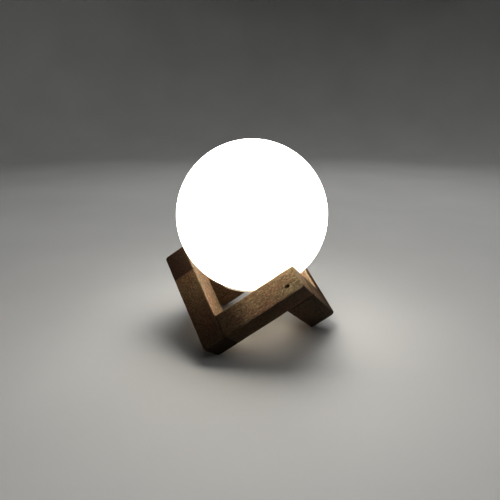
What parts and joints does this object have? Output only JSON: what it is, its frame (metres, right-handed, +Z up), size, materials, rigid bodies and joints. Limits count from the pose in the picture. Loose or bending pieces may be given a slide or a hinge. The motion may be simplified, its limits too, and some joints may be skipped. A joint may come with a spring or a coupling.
{
  "type": "globe table lamp",
  "caption": "Round opal globe lamp, battery powered, resting loose in a three-pointed zigzag crown of square wooden bars; push button and charging socket underneath.",
  "frame": {"origin": "on the table, on the common vertical axis of the wooden crown and the globe", "axes": "+Z up along the crown's three-fold axis; -Y towards the low corner of the two front bars; +X to the right seen from the front"},
  "size_m": [0.1234, 0.1411, 0.1584],
  "materials": {
    "stained_wood": "stained and waxed, open pores",
    "brad_steel": "dark, sunk below the wood",
    "opal_globe": "opal, lit from inside",
    "opal_dome": "opal",
    "white_plastic": "fine spark texture",
    "grey_plastic": "satin",
    "black_plastic": "satin",
    "connector_plastic": "natural nylon",
    "screw_steel": "zinc plated",
    "plated_shell": "nickel plated",
    "green_board": "solder resist",
    "white_board": "white solder resist",
    "lighting_chip": "phosphor gel",
    "clear_rod": "clear acrylic",
    "black_foam": "closed-cell foam",
    "cell_wrap": "shrink wrap",
    "plate_aluminium": "blanked sheet",
    "red_insulation": "silicone",
    "black_insulation": "silicone"
  },
  "bodies": {
    "stand": {"front_left_bar": "stained_wood", "front_right_bar": "stained_wood", "right_bar": "stained_wood", "rear_right_bar": "stained_wood", "rear_left_bar": "stained_wood", "left_bar": "stained_wood", "low_corner_brads": "brad_steel", "high_corner_brads": "brad_steel"},
    "lamp": {"globe_shell": "opal_globe", "neck_ring": "white_plastic", "base_cup": "white_plastic", "base_screws": "screw_steel", "charge_socket": "plated_shell", "socket_tongue": "black_plastic", "button_switch": "black_plastic", "indicator_chip": "lighting_chip", "light_pipe": "clear_rod", "control_board": "green_board", "board_screws": "screw_steel", "lead_plugs": "connector_plastic", "foam_pad": "black_foam", "battery_cell": "cell_wrap", "guard_board": "green_board", "red_leads": "red_insulation", "black_leads": "black_insulation", "light_plate": "plate_aluminium", "light_plate_screws": "screw_steel", "led_board": "white_board", "led_chips": "lighting_chip", "led_screws": "screw_steel", "diffuser_dome": "opal_dome"},
    "button": {"power_button": "grey_plastic", "switch_plunger": "black_plastic"}
  },
  "joints": [
    {"name": "lamp_lift", "type": "slide", "parent": "stand", "child": "lamp", "axis": [0, 0, 1], "range_m": [0, 0.045]},
    {"name": "button_press", "type": "slide", "parent": "lamp", "child": "button", "axis": [0, 0, 1], "range_m": [0, 0.0006], "stiffness_N_per_m": 200, "springref_m": -0.002}
  ]
}
